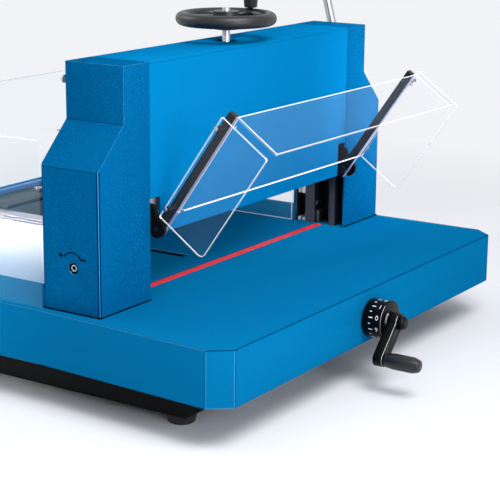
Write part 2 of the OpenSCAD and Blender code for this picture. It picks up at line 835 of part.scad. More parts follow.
module gauge_body() {
    color("#787c84") {
        part_block(gauge_x, [gauge_y, gauge_y + plate_t], [0.5, gauge_h - 4]);
        part_block(gauge_x, [gauge_y + plate_t, gauge_y + gauge_d], [0.5, 10]);
        for (x = [gauge_x[0], -spindle_x - 46, -spindle_x + 40, gauge_x[1] - 6])
            part_block([x, x + 6], [gauge_y + plate_t, gauge_y + gauge_d], [10, gauge_h - 4]);
    }
}

module gauge_top() {
    color("#4a4e56") difference() {
        part_block(gauge_x, [gauge_y, gauge_y + gauge_d], [gauge_h - 4, gauge_h]);
        for (x = [gauge_x[0] + gauge_bolt_in, -spindle_x, gauge_x[1] - gauge_bolt_in])
            translate([x, face_y + gauge_y + gauge_bolt_y, table_h + gauge_h - 5]) cylinder(r = 4, h = 6);
    }
}

module gauge_strip() {
    color("#6f8fd0") part_block(gauge_x, [gauge_y + gauge_d - 5, gauge_y + gauge_d], [gauge_h, gauge_h + 6]);
}

module gauge_bolts() {
    color(steel) for (x = [gauge_x[0] + gauge_bolt_in, -spindle_x, gauge_x[1] - gauge_bolt_in])
        translate([x, face_y + gauge_y + gauge_bolt_y, table_h + gauge_h]) {
            difference() {
                cylinder(r = 6.5, h = 4);
                translate([0, 0, 1.5]) cylinder(r = 3, h = 3, $fn = 6);
            }
            translate([0, 0, -4]) cylinder(r = 4, h = 4);
        }
}

// Nut block under the table, with a neck that passes up through the slot to the gauge.
module gauge_carriage() {
    neck_y = [gauge_mid - neck_l / 2, gauge_mid + neck_l / 2];
    color(dark) difference() {
        union() {
            part_block([-spindle_x - 20, -spindle_x + 20], neck_y, [-spindle_drop - 12, -table_t - 2]);
            part_block([-spindle_x - neck_w / 2, -spindle_x + neck_w / 2], neck_y, [-table_t - 2, 0.5]);
        }
        rod_y(spindle_r + fit, spindle_at[0], [face_y + neck_y[0] - 1, face_y + neck_y[1] + 1], spindle_at[2]);
    }
}

dial_y = [-table_front - 1.5 - dial_len, -table_front - 1.5];
arm_y = [dial_y[0] - 1.5 - crank_t, dial_y[0] - 1.5];
cap_y = [arm_y[0] - 8, arm_y[0]];
grip_y = [arm_y[0] - 46, arm_y[0] - 1];

module at_crank() { translate([spindle_at[0], face_y, spindle_at[2]]) rotate([90, 0, 0]) children(); }

module gauge_spindle() {
    color(steel) {
        rod_y(spindle_r, spindle_at[0], [face_y + arm_y[0], face_y + table_rear - 10], spindle_at[2]);
        rod_y(spindle_r + 4, spindle_at[0],
            [face_y + bearing_y[0][1] + gap, face_y + bearing_y[0][1] + gap + 5], spindle_at[2]);
    }
}

module crank_dial() {
    color(black) difference() {
        union() {
            rod_y(dial_r, spindle_at[0], [face_y + dial_y[0] + 2, face_y + dial_y[1]], spindle_at[2]);
            rod_y(dial_r + 1, spindle_at[0], [face_y + dial_y[0], face_y + dial_y[0] + 2], spindle_at[2]);
            rod_y(12, spindle_at[0], [face_y + arm_y[1], face_y + dial_y[0]], spindle_at[2]);
        }
        rod_y(spindle_r, spindle_at[0], [face_y + arm_y[1] - 1, face_y + dial_y[1] + 1], spindle_at[2]);
    }
}

grip_at = [-crank_len * cos(crank_tilt), -crank_len * sin(crank_tilt)];

module crank_arm() {
    color(black) at_crank() translate([0, 0, -arm_y[1]]) difference() {
        linear_extrude(crank_t) {
            circle(11);
            translate(grip_at) circle(9);
            rotate(180 + crank_tilt) translate([0, -9]) square([crank_len, 18]);
        }
        translate([0, 0, -1]) cylinder(r = spindle_r, h = crank_t + 2);
        translate([grip_at[0], grip_at[1], -1]) cylinder(r = 3.5 + fit, h = crank_t + 2);
    }
}

module crank_cap() {
    color(black) at_crank() translate([0, 0, -cap_y[1]]) {
        cylinder(r = 8.5, h = 5);
        translate([0, 0, 5]) cylinder(r1 = 8.5, r2 = 6, h = 3);
    }
}

module crank_grip() {
    color(black) at_crank() translate([grip_at[0], grip_at[1], 0]) {
        translate([0, 0, -arm_y[1]]) cylinder(r = 3.5, h = crank_t + 2);
        translate([0, 0, -grip_y[1]]) rotate_extrude()
            polygon([[0, 0], [8, 0], [9.5, 12], [9.5, 36], [7, 44], [0, 45]]);
    }
}

// Socket screw that sets the knife depth, reached through a hole in the column cover.
module adjust_screw() {
    difference() {
        union() {
            rod_x(adj_shank_r, [side_x - 2, outer - 8], face_y + adj_y, table_h + adj_z);
            rod_x(adj_head_r, [outer - 8, outer - 1.5], face_y + adj_y, table_h + adj_z);
        }
        translate([outer - 5.5, face_y + adj_y, table_h + adj_z]) rotate([0, 90, 0])
            cylinder(r = 2.6, h = 5, $fn = 6);
    }
}

module left_adjust_screw() { color(steel) mirror([1, 0, 0]) adjust_screw(); }
module right_adjust_screw() { color(steel) adjust_screw(); }

table_top();
base_side_rails();
base_cross_rails();
feet();
stick_bed();
cutting_stick();
left_side_frame();
right_side_frame();
left_guide_bars();
right_guide_bars();
guide_fittings();
left_column_cover();
right_column_cover();
front_panel();
top_cover();
rear_panel();
crossbeam();
crossbeam_bolts();
shaft_bushes();
lever_bearing();
guard_brackets();
guard_pins();
rear_guard();
rear_guard_brackets();
side_guide();
side_guide_cap();
spindle_bearings();
knife_carrier();
knife();
knife_bolts();
racks();
drive_shaft();
sectors();
lever_hub();
lever_bar();
lever_grip();
clamp_beam();
clamp_tube();
clamp_screw();
hand_wheel();
wheel_knob();
left_guard_arm();
right_guard_arm();
guard_sheet();
left_guard_cheek();
right_guard_cheek();
guard_spacers();
guard_screws();
gauge_body();
gauge_top();
gauge_strip();
gauge_bolts();
gauge_carriage();
gauge_spindle();
crank_dial();
crank_arm();
crank_cap();
crank_grip();
left_adjust_screw();
right_adjust_screw();
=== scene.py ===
import json
import math

import bpy
from mathutils import Matrix, Vector


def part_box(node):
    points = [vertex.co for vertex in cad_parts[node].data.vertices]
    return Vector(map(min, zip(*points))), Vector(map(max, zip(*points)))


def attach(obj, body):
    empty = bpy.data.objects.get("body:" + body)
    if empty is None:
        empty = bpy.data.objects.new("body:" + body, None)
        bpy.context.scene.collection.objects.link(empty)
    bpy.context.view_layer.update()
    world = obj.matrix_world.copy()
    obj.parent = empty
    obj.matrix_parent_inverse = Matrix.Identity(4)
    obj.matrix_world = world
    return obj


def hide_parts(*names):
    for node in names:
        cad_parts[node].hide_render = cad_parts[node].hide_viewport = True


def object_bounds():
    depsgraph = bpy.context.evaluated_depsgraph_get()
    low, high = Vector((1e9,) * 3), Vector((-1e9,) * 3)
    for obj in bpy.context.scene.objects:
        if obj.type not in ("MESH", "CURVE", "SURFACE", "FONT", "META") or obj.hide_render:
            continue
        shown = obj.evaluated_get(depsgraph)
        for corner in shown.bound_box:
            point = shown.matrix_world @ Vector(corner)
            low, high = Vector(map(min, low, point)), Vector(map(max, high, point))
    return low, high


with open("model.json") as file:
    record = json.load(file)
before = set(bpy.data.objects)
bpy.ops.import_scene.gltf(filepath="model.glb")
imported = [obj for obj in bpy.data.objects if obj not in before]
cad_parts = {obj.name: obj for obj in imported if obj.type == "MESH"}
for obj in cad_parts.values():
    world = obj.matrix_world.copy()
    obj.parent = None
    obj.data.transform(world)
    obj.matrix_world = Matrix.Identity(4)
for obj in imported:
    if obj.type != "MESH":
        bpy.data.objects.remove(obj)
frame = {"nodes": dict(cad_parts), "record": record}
cad_low, cad_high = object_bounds()
bpy.ops.object.select_all(action="DESELECT")

# The table: a 3 mm steel sheet with its aprons folded down on all sides, sprayed
# with blue powder and baked. The coat flows round each fold, so the folds are soft.
# Lengths in this file are in metres, or in millimetres where the name ends in _mm.
COAT_BLUE = "04699B"
TABLE_FOLD_MM = 1.6
MERGE_MM, FLAT_DEG, SMOOTH_DEG = 0.005, 0.6, 32
PATCH_MM, FLECKS_PER_GRAIN = 111, 0.7


def linear(hex_code):
    """An sRGB hex colour as the linear values that a shader takes."""
    parts = [int(hex_code[i : i + 2], 16) / 255 for i in (0, 2, 4)]
    return [c / 12.92 if c <= 0.04045 else ((c + 0.055) / 1.055) ** 2.4 for c in parts] + [1]


def add_node(tree, kind, links=None, **settings):
    """A shader node with its settings, fed by the sockets or values in links."""
    made = tree.nodes.new(kind)
    for name, value in settings.items():
        setattr(made, name, value)
    for socket, source in (links or {}).items():
        if isinstance(source, bpy.types.NodeSocket):
            tree.links.new(source, made.inputs[socket])
        else:
            made.inputs[socket].default_value = source
    return made


def new_finish(name):
    """An empty material, its node tree and shader, and a place on the piece to pattern by."""
    finish = bpy.data.materials.new(name)
    finish.use_nodes = True
    tree = finish.node_tree
    place = add_node(tree, "ShaderNodeTexCoord").outputs["Object"]
    return finish, tree, tree.nodes["Principled BSDF"], place


def powder_coat(name, hue, pale, grain_mm, depth_mm, gloss, shine=0.0):
    """Baked powder: fine orange peel, with paler flecks in patches where it is thin."""
    finish, tree, shader, place = new_finish(name)
    peel = add_node(
        tree, "ShaderNodeTexNoise", {"Vector": place, "Scale": 1000 / grain_mm, "Detail": 3.0}
    )
    flecks = add_node(
        tree, "ShaderNodeTexVoronoi",
        {"Vector": place, "Scale": FLECKS_PER_GRAIN * 1000 / grain_mm},
    )
    cloud = add_node(
        tree, "ShaderNodeTexNoise", {"Vector": place, "Scale": 1000 / PATCH_MM, "Detail": 2.0}
    )
    spot = add_node(tree, "ShaderNodeValToRGB", {"Fac": flecks.outputs["Distance"]})
    spot.color_ramp.elements[0].color = (1, 1, 1, 1)
    spot.color_ramp.elements[1].position = 0.42
    spot.color_ramp.elements[1].color = (0, 0, 0, 1)
    patchy = add_node(
        tree, "ShaderNodeMapRange",
        {"Value": cloud.outputs["Fac"], 1: 0.3, 2: 0.7, 3: 0.25, 4: 1.0},
    )
    tone = add_node(
        tree, "ShaderNodeMath",
        {0: patchy.outputs[0], 1: spot.outputs["Color"]},
        operation="MULTIPLY",
    )
    mix = add_node(
        tree, "ShaderNodeMix",
        {"Factor": tone.outputs[0], "A": linear(hue), "B": linear(pale)},
        data_type="RGBA",
    )
    rough = add_node(
        tree, "ShaderNodeMapRange",
        {"Value": peel.outputs["Fac"], 3: gloss - 0.06, 4: gloss + 0.06},
    )
    bump = add_node(
        tree, "ShaderNodeBump",
        {"Height": peel.outputs["Fac"], "Strength": 1.0, "Distance": depth_mm / 1000},
    )
    shader.inputs["Specular IOR Level"].default_value = shine
    tree.links.new(mix.outputs[2], shader.inputs["Base Color"])
    tree.links.new(rough.outputs[0], shader.inputs["Roughness"])
    tree.links.new(bump.outputs[0], shader.inputs["Normal"])
    return finish


body_of_node = {n: b for b, nodes in frame["record"]["behaviour"]["bodies"].items() for n in nodes}


def only(piece):
    """Selects one piece alone, ready for an operator."""
    bpy.ops.object.select_all(action="DESELECT")
    piece.select_set(True)
    bpy.context.view_layer.objects.active = piece


def clean_copy(node, name):
    """A copy of a solid with its triangles merged back into flat faces."""
    piece = bpy.data.objects.new(name, frame["nodes"][node].data.copy())
    bpy.context.collection.objects.link(piece)
    piece.data.materials.clear()
    only(piece)
    bpy.ops.object.mode_set(mode="EDIT")
    bpy.ops.mesh.select_all(action="SELECT")
    bpy.ops.mesh.remove_doubles(threshold=MERGE_MM / 1000)
    bpy.ops.mesh.dissolve_limited(angle_limit=math.radians(FLAT_DEG))
    bpy.ops.object.mode_set(mode="OBJECT")
    return piece


def round_edges(piece, width_mm, turns=3, from_deg=28):
    """Bevels the edges that turn by more than from_deg, and smooths what lies between."""
    only(piece)
    bevel = piece.modifiers.new("rounding", "BEVEL")
    bevel.width = width_mm / 1000
    bevel.segments = turns
    bevel.limit_method = "ANGLE"
    bevel.angle_limit = math.radians(from_deg)
    bevel.harden_normals = False
    bpy.ops.object.modifier_apply(modifier="rounding")
    bpy.ops.object.shade_smooth_by_angle(angle=math.radians(SMOOTH_DEG))


def fit(piece, node, *finishes):
    """Puts a finished piece in the place of its solid, on the same body."""
    piece.data.materials.clear()
    for finish in finishes:
        piece.data.materials.append(finish)
    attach(piece, body_of_node[node])
    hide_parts(node)


def finish_solid(node, finish, width_mm, turns=3):
    """A solid of the frame as a finished piece: merged, rounded and coated."""
    piece = clean_copy(node, node + "_piece")
    round_edges(piece, width_mm, turns)
    fit(piece, node, finish)
    return piece


# Powder coat on the flat: an even satin blue. On a fold a pale line is painted as a
# highlight, with a navy line of painted shade beside it.
table_coat = powder_coat("powder_coated_table_sheet", COAT_BLUE, "0877A8", 1.3, 0.05, 0.55)
fold_painted_highlight = powder_coat("painted_highlight_on_a_fold", "3F9CCD", "5FB2DC", 1.3, 0.05, 0.50, 0.2)
fold_painted_shade = powder_coat("painted_shade_beside_a_fold", "00345F", "004474", 1.3, 0.05, 0.60)
FOLD_HIGHLIGHT, FOLD_SHADE = 1, 2
FLAT_FROM_M2, TABLE_FLAT_FROM_M2 = 0.001, 0.005


def shade_folds(piece, crown_deg):
    """Paints a highlight on the crown of a fold and shade beside it; flats stay plain."""
    piece.data.materials.append(fold_painted_highlight)
    piece.data.materials.append(fold_painted_shade)
    for face in piece.data.polygons:
        if face.area > FLAT_FROM_M2:
            continue
        parts = sorted((abs(c) for c in face.normal), reverse=True)
        lean = math.degrees(math.atan2(parts[1], parts[0]))
        if lean > crown_deg:
            face.material_index = FOLD_HIGHLIGHT
        elif lean > 6 and parts[2] < 0.2:
            face.material_index = FOLD_SHADE


# The table's front fold is painted in shade right across; on its other folds the
# painted highlight lies below the painted shade.
table = finish_solid("table_top", table_coat, TABLE_FOLD_MM, 4)
shade_folds(table, 33)
for face in table.data.polygons:
    on_fold = 0.05 < face.normal.z < 0.995 and face.area < TABLE_FLAT_FROM_M2
    if on_fold and (face.normal.y < -0.3 or face.normal.z > 0.75):
        face.material_index = FOLD_SHADE
    elif on_fold and face.normal.z > 0.2:
        face.material_index = FOLD_HIGHLIGHT

# The column covers, the front panel and the head's covers: folded 2.5 mm sheet in the
# same blue powder. The column covers have a coarser orange peel, which breaks up their
# large plain faces, and their blue is painted darker as shade; the head's panels are
# smoother, and their blue is painted a little brighter as light.
COLUMN_FOLD_MM, PANEL_EDGE_MM = 2.0, 0.8
column_coat_painted_darker = powder_coat("column_powder_painted_darker", "025A8D", "137CAF", 2.2, 0.60, 0.55)
panel_coat_painted_brighter = powder_coat("head_panel_powder_painted_brighter", "0373AC", "067EB8", 1.4, 0.05, 0.52)
for cover in ("left_column_cover", "right_column_cover"):
    shade_folds(finish_solid(cover, column_coat_painted_darker, COLUMN_FOLD_MM), 38)
for cover in ("front_panel", "top_cover", "rear_panel"):
    finish_solid(cover, panel_coat_painted_brighter, PANEL_EDGE_MM)

# Button-head screws hold the covers: four in the rear panel and three down the back
# edge of each column cover. The heads are cold formed steel, zinc plated, with a sunk
# socket for the key that is painted dark as shade.
HEAD_R_MM, HEAD_MM, DOME_MM, RIM_MM = 4.6, 2.2, 0.7, 1.2
SOCKET_R_MM, SOCKET_DEEP_MM = 2.2, 1.6
PANEL_SCREW_X, PANEL_LOW_IN, PANEL_HIGH_IN, COVER_IN = 0.200, 0.012, 0.014, 0.020
ZINC_CLOUD_MM = 10 / 3


def screw_finish(name, hue, worn):
    """Plated steel: a pale metal that is slightly cloudy, as the plating's depth varies."""
    finish, tree, shader, place = new_finish(name)
    cloud = add_node(
        tree, "ShaderNodeTexNoise",
        {"Vector": place, "Scale": 1000 / ZINC_CLOUD_MM, "Detail": 2.0},
    )
    mix = add_node(
        tree, "ShaderNodeMix",
        {"Factor": cloud.outputs["Fac"], "A": linear(hue), "B": linear(worn)},
        data_type="RGBA",
    )
    spread = add_node(
        tree, "ShaderNodeMapRange", {"Value": cloud.outputs["Fac"], 3: 0.26, 4: 0.42}
    )
    shader.inputs["Metallic"].default_value = 0.9
    tree.links.new(mix.outputs[2], shader.inputs["Base Color"])
    tree.links.new(spread.outputs[0], shader.inputs["Roughness"])
    return finish


bright_zinc = screw_finish("bright_zinc_screw", "9EA1A8", "BFC2C8")
socket_painted_shade = screw_finish("painted_shade_in_screw_socket", "141518", "1D1F23")


def pick_faces(piece, wanted):
    """Selects the faces that wanted(face) names, and leaves the piece in edit mode."""
    bpy.ops.object.mode_set(mode="EDIT")
    bpy.ops.mesh.select_mode(type="FACE")
    bpy.ops.mesh.select_all(action="DESELECT")
    bpy.ops.object.mode_set(mode="OBJECT")
    for face in piece.data.polygons:
        face.select = wanted(face)
    bpy.ops.object.mode_set(mode="EDIT")


def join_as(pieces, name):
    """Joins meshes into one piece with a name of its own."""
    bpy.ops.object.select_all(action="DESELECT")
    for piece in pieces:
        piece.select_set(True)
    bpy.context.view_layer.objects.active = pieces[0]
    bpy.ops.object.join()
    joined = bpy.context.object
    joined.name = name
    return joined


def button_head(at):
    """A screw head that faces the rear: domed, with a sunk socket."""
    bpy.ops.mesh.primitive_cylinder_add(
        vertices=24, radius=HEAD_R_MM / 1000, depth=HEAD_MM / 1000
    )
    head = bpy.context.object
    pick_faces(head, lambda face: face.normal.z > 0.9)
    bpy.ops.mesh.inset(thickness=RIM_MM / 1000)
    bpy.ops.transform.translate(value=(0, 0, DOME_MM / 1000))
    bpy.ops.mesh.inset(thickness=(HEAD_R_MM - RIM_MM - SOCKET_R_MM) / 1000)
    bpy.ops.mesh.extrude_region_move(
        TRANSFORM_OT_translate={"value": (0, 0, -SOCKET_DEEP_MM / 1000)}
    )
    bpy.ops.object.mode_set(mode="OBJECT")
    head.data.materials.append(bright_zinc)
    head.data.materials.append(socket_painted_shade)
    # The socket's faces are painted near black as shade.
    for face in head.data.polygons:
        off_axis = math.hypot(face.center.x, face.center.y) * 1000
        if off_axis < SOCKET_R_MM * 1.02 and face.center.z > 0:
            face.material_index = 1
    head.data.transform(Matrix.Rotation(math.radians(-90), 4, "X"))
    head.data.transform(Matrix.Translation(at))
    return head


panel_low, panel_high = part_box("rear_panel")
back_y = panel_high.y + HEAD_MM / 2000
panel_rows = (panel_low.z + PANEL_LOW_IN, panel_high.z - PANEL_HIGH_IN)
screw_spots = [(x, back_y, z) for x in (-PANEL_SCREW_X, PANEL_SCREW_X) for z in panel_rows]
for cover in ("left_column_cover", "right_column_cover"):
    low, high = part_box(cover)
    cover_rows = (low.z + COVER_IN, (low.z + high.z) / 2, high.z - COVER_IN)
    screw_spots += [((low.x + high.x) / 2, back_y, z) for z in cover_rows]
cover_screws = join_as([button_head(spot) for spot in screw_spots], "cover_screws")
bpy.ops.object.shade_smooth_by_angle(angle=math.radians(SMOOTH_DEG))
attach(cover_screws, "frame")

# A thin black strip lies round the foot of each column, where the cover meets the table:
# a painted contact shadow that shows as a fine black line. None runs across the column's
# inner side, where the knife and the clamp come down.
contact_shadow_black = powder_coat("painted_contact_shadow", "020304", "0A0B0D", 1.0, 0.02, 0.6)
SHADOW_LINE_PROUD_MM, SHADOW_LINE_HIGH_MM, SHADOW_LINE_IN_MM, SHADOW_LINE_LIFT_MM = 0.5, 1.5, 2.0, 0.02
for side, name in ((-1, "left"), (1, "right")):
    low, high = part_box(name + "_column_cover")
    span = high - low
    proud = 2 * SHADOW_LINE_PROUD_MM / 1000
    shadow_line_z = low.z + (SHADOW_LINE_HIGH_MM / 2 + SHADOW_LINE_LIFT_MM) / 1000
    middle = ((low.x + high.x) / 2, (low.y + high.y) / 2, shadow_line_z)
    bpy.ops.mesh.primitive_cube_add(size=1, location=(0, 0, 0))
    shadow_line = bpy.context.object
    shadow_line.name = name + "_column_shadow_line"
    shadow_line.data.transform(
        Matrix.Diagonal((span.x + proud, span.y + proud, SHADOW_LINE_HIGH_MM / 1000, 1))
    )
    shadow_line.data.transform(Matrix.Translation(middle))
    pick_faces(shadow_line, lambda face: abs(face.normal.z) > 0.9)
    bpy.ops.mesh.inset(thickness=SHADOW_LINE_IN_MM / 1000)
    bpy.ops.mesh.bridge_edge_loops()
    inner_x = high.x if side < 0 else low.x
    pick_faces(shadow_line, lambda face: abs(face.center.x - inner_x) < SHADOW_LINE_IN_MM * 1.2 / 1000)
    bpy.ops.mesh.delete(type="FACE")
    bpy.ops.mesh.select_all(action="SELECT")
    bpy.ops.mesh.fill_holes(sides=4)
    bpy.ops.object.mode_set(mode="OBJECT")
    round_edges(shadow_line, 0.25, 2)
    shadow_line.data.materials.append(contact_shadow_black)
    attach(shadow_line, "frame")

# The setting marks beside each adjusting screw: a plus, an arc with two arrow heads
# and a minus, screen printed in black on the outer face of the column cover. They say
# which way the screw is turned.
INK_GRAIN_MM = 10 / 9


def printed_ink(name, hue, thin):
    """Screen ink: a dull film with faint breaks where the coat's texture shows."""
    finish, tree, shader, place = new_finish(name)
    grain = add_node(
        tree, "ShaderNodeTexNoise",
        {"Vector": place, "Scale": 1000 / INK_GRAIN_MM, "Detail": 2.0},
    )
    rough = add_node(tree, "ShaderNodeMapRange", {"Value": grain.outputs["Fac"], 3: 0.5, 4: 0.75})
    mix = add_node(
        tree, "ShaderNodeMix",
        {"Factor": grain.outputs["Fac"], "A": linear(hue), "B": linear(thin)},
        data_type="RGBA",
    )
    shader.inputs["Specular IOR Level"].default_value = 0.0
    tree.links.new(mix.outputs[2], shader.inputs["Base Color"])
    tree.links.new(rough.outputs[0], shader.inputs["Roughness"])
    return finish


black_ink = printed_ink("black_screen_ink", "020304", "0B0C0F")
screw_low, screw_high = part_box("left_adjust_screw")
mark_y = (screw_low.y + screw_high.y) / 2
mark_z = (screw_low.z + screw_high.z) / 2
LINE_MM, ARC_LINE_MM, INK_MM = 1.7, 1.25, 0.16
PLUS_AT_MM, PLUS_MM = (17.2, 13.0), 6.0
MINUS_AT_MM, MINUS_MM = (-14.0, 11.2), 8.5
ARC_AT_MM, ARC_R_MM, ARC_STROKES, STROKE_MM = (1.0, 3.8), 14.0, 14, 2.3
ARC_FROM_DEG, ARC_TO_DEG = 42, 138
ARROW_MM, ARROW_DEG = 2.4, 28


def flat_bar(name, face_x, at_mm, length_mm, angle_deg, line_mm=LINE_MM):
    """A printed line on the column's outer face, placed from the screw's axis."""
    bpy.ops.mesh.primitive_cube_add(size=1, location=(0, 0, 0))
    bar = bpy.context.object
    bar.name = name
    bar.data.transform(
        Matrix.Diagonal((INK_MM / 1000, length_mm / 1000, line_mm / 1000, 1))
    )
    bar.data.transform(Matrix.Rotation(math.radians(angle_deg), 4, "X"))
    bar.data.transform(
        Matrix.Translation((face_x, mark_y + at_mm[0] / 1000, mark_z + at_mm[1] / 1000))
    )
    return bar


def on_arc(deg):
    """A point of the arc, in millimetres from the screw's axis."""
    a = math.radians(deg)
    return (ARC_AT_MM[0] + ARC_R_MM * math.cos(a), ARC_AT_MM[1] + ARC_R_MM * math.sin(a))


for side, name in ((-1, "left"), (1, "right")):
    face_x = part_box(name + "_column_cover")[0 if side < 0 else 1].x + side * INK_MM / 2000
    strokes = [flat_bar("plus", face_x, PLUS_AT_MM, PLUS_MM, turn) for turn in (0, 90)]
    strokes.append(flat_bar("minus", face_x, MINUS_AT_MM, MINUS_MM, 0))
    for i in range(ARC_STROKES):
        deg = ARC_FROM_DEG + i * (ARC_TO_DEG - ARC_FROM_DEG) / (ARC_STROKES - 1)
        strokes.append(flat_bar("arc", face_x, on_arc(deg), STROKE_MM, deg + 90, ARC_LINE_MM))
    for end in (ARC_FROM_DEG, ARC_TO_DEG):
        for turn in (-ARROW_DEG, ARROW_DEG):
            strokes.append(flat_bar("head", face_x, on_arc(end), ARROW_MM, end + 90 + turn))
    mark = join_as(strokes, name + "_setting_mark")
    mark.data.materials.append(black_ink)
    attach(mark, "frame")

# Cast and machined steel inside the columns, the head and the table: side frames, guide
# bars, crossbeam, clamp, stick bed and spindle bearings. It is milled and left oiled.
OIL_MM, CUT_DEEP_MM, CUT_STRETCH = 35.7, 0.04, 216


def milled_steel(name, hue, worn, line_mm, rough, metal=1.0, along="X"):
    """Machined metal: fine parallel cutter lines and a cloudy oil film.

    Real cutter lines are about 0.2 mm apart; they are drawn coarser, so that they show.
    """
    finish, tree, shader, place = new_finish(name)
    stretch = {"X": (CUT_STRETCH, 1, 1), "Z": (1, 1, CUT_STRETCH)}[along]
    squeezed = tuple(1000 / line_mm / s for s in stretch)
    axes = add_node(tree, "ShaderNodeMapping", {"Vector": place, "Scale": squeezed})
    lines = add_node(
        tree, "ShaderNodeTexNoise", {"Vector": axes.outputs[0], "Scale": 1.0, "Detail": 4.0}
    )
    film = add_node(
        tree, "ShaderNodeTexNoise", {"Vector": place, "Scale": 1000 / OIL_MM, "Detail": 3.0}
    )
    mix = add_node(
        tree, "ShaderNodeMix",
        {"Factor": film.outputs["Fac"], "A": linear(hue), "B": linear(worn)},
        data_type="RGBA",
    )
    spread = add_node(
        tree, "ShaderNodeMapRange",
        {"Value": lines.outputs["Fac"], 3: rough - 0.08, 4: rough + 0.10},
    )
    bump = add_node(
        tree, "ShaderNodeBump",
        {"Height": lines.outputs["Fac"], "Strength": 0.35, "Distance": CUT_DEEP_MM / 1000},
    )
    shader.inputs["Metallic"].default_value = metal
    tree.links.new(mix.outputs[2], shader.inputs["Base Color"])
    tree.links.new(spread.outputs[0], shader.inputs["Roughness"])
    tree.links.new(bump.outputs[0], shader.inputs["Normal"])
    return finish


# The oiled casting is dark grey with a soft sheen along its lines. The blackened steel
# beside it swallows the light, and the bars' front faces are painted black as shade.
oiled_casting = milled_steel("oiled_machined_casting", "282C34", "353A43", 0.8, 0.50, 0.35, "Z")
blackened_steel_and_bar_shade = milled_steel("blackened_steel_and_painted_bar_shade", "08090A", "101215", 0.8, 0.50, 0.2)
for node in ("left_guide_bars", "right_guide_bars"):
    bars = finish_solid(node, oiled_casting, 0.5)
    bars.data.materials.append(blackened_steel_and_bar_shade)
    for face in bars.data.polygons:
        front_in_painted_shade = face.normal.y < -0.6
        if front_in_painted_shade:
            face.material_index = 1
for node in ("left_side_frame", "right_side_frame"):
    finish_solid(node, blackened_steel_and_bar_shade, 0.5)
for node in ("stick_bed", "crossbeam", "clamp_beam", "spindle_bearings", "gauge_carriage"):
    finish_solid(node, blackened_steel_and_bar_shade, 0.6)

# Bright steel: shafts, screws, racks, bolts and clips, turned or milled. The turned parts
# mirror in streaks, the zinc plate is duller and bluish, the clips and the carrier's milled
# face are pale and flat, and the blackened pins and spacers swallow the light.
turned_steel = milled_steel("turned_bright_steel", "A9ACB1", "C4C6CA", 0.5, 0.27)
zinc_plate = milled_steel("zinc_plated_steel", "9C9FAA", "BCBFC8", 1.2, 0.36)
bush_bronze = milled_steel("sintered_bearing_bronze", "A8824A", "8C6A38", 0.5, 0.40)
for node in (
    "crossbeam_bolts", "knife_bolts", "drive_shaft", "lever_bar", "guard_screws",
    "clamp_tube", "clamp_screw", "gauge_spindle", "gauge_bolts",
):
    finish_solid(node, turned_steel, 0.4)
for node in ("racks", "sectors"):
    finish_solid(node, turned_steel, 0.25)
finish_solid("rear_guard_brackets", zinc_plate, 0.6)
clip_steel = milled_steel("passivated_clip_steel", "C6CACF", "DADDE1", 0.6, 0.4, 0.1)
finish_solid("guide_fittings", clip_steel, 0.4)
# Black oxide for the pins and spacers; the same black paints shade into the adjusting screws' key
# holes and the side guide's groove.
black_oxide_and_painted_shade = milled_steel("black_oxide_steel_and_painted_shade", "0B0C0E", "17191C", 0.6, 0.42, 0.4)
for node in ("guard_pins", "guard_spacers"):
    finish_solid(node, black_oxide_and_painted_shade, 0.3)
KEY_HOLE_R, SCREW_FACE_X = 0.0027, 0.3083
for node in ("left_adjust_screw", "right_adjust_screw"):
    head = finish_solid(node, zinc_plate, 0.25)
    head.data.materials.append(black_oxide_and_painted_shade)
    # Faces round the screw's axis inside its head are the key hole, painted black as shade.
    for face in head.data.polygons:
        off_axis = math.hypot(face.center.y - mark_y, face.center.z - mark_z)
        if off_axis < KEY_HOLE_R and abs(face.center.x) < SCREW_FACE_X:
            face.material_index = 1
# The carrier is face milled and wiped dry; the bushes are sintered bronze, dull and brown.
milled_face = milled_steel("face_milled_steel", "E4E2F0", "EFEDF8", 1.0, 0.34, 0.15, "Z")
finish_solid("knife_carrier", milled_face, 0.6)
finish_solid("shaft_bushes", bush_bronze, 0.4)

# The knife: hardened tool steel, bolted to its carrier. It is ground across its width,
# which gives it fine upright lines, and its edge is kept crisp.
ground_steel = milled_steel("ground_tool_steel", "B4B8BE", "CFD2D6", 0.6, 0.20, 1.0, "Z")
finish_solid("knife", ground_steel, 0.12, 2)

# The cutting stick: an extruded red plastic bar that lies flush in the table and is
# turned over when worn. The knife scores it along its length.
SCORES_PER_M, SCORE_DEEP_MM = (6.0, 1400.0, 60.0), 0.1


def stick_plastic():
    """Extruded PVC, dull, with knife scores 0.7 mm apart and some 170 mm long."""
    finish, tree, shader, place = new_finish("extruded_red_pvc")
    axes = add_node(tree, "ShaderNodeMapping", {"Vector": place, "Scale": SCORES_PER_M})
    scores = add_node(
        tree, "ShaderNodeTexNoise", {"Vector": axes.outputs[0], "Scale": 1.0, "Detail": 2.0}
    )
    mix = add_node(
        tree, "ShaderNodeMix",
        {"Factor": scores.outputs["Fac"], "A": linear("E63442"), "B": linear("D02A38")},
        data_type="RGBA",
    )
    bump = add_node(
        tree, "ShaderNodeBump",
        {"Height": scores.outputs["Fac"], "Strength": 0.5, "Distance": SCORE_DEEP_MM / 1000},
    )
    shader.inputs["Roughness"].default_value = 0.55
    shader.inputs["Specular IOR Level"].default_value = 0.1
    tree.links.new(mix.outputs[2], shader.inputs["Base Color"])
    tree.links.new(bump.outputs[0], shader.inputs["Normal"])
    return finish


finish_solid("cutting_stick", stick_plastic(), 0.3)

# The base: welded box rails in black powder, on four moulded rubber feet. The lever's
# bearing and hub and the guard's brackets have the same coat, which is satin with a
# faint highlight on the edges. The feet's rubber is matt and takes no highlight.
HANDLED_MM = 45.5
black_coat = powder_coat("black_powder_coated_base", "090A0B", "151618", 1.2, 0.08, 0.5, 0.08)
for node in (
    "base_side_rails", "base_cross_rails", "lever_bearing", "lever_hub", "guard_brackets",
):
    finish_solid(node, black_coat, 1.0)


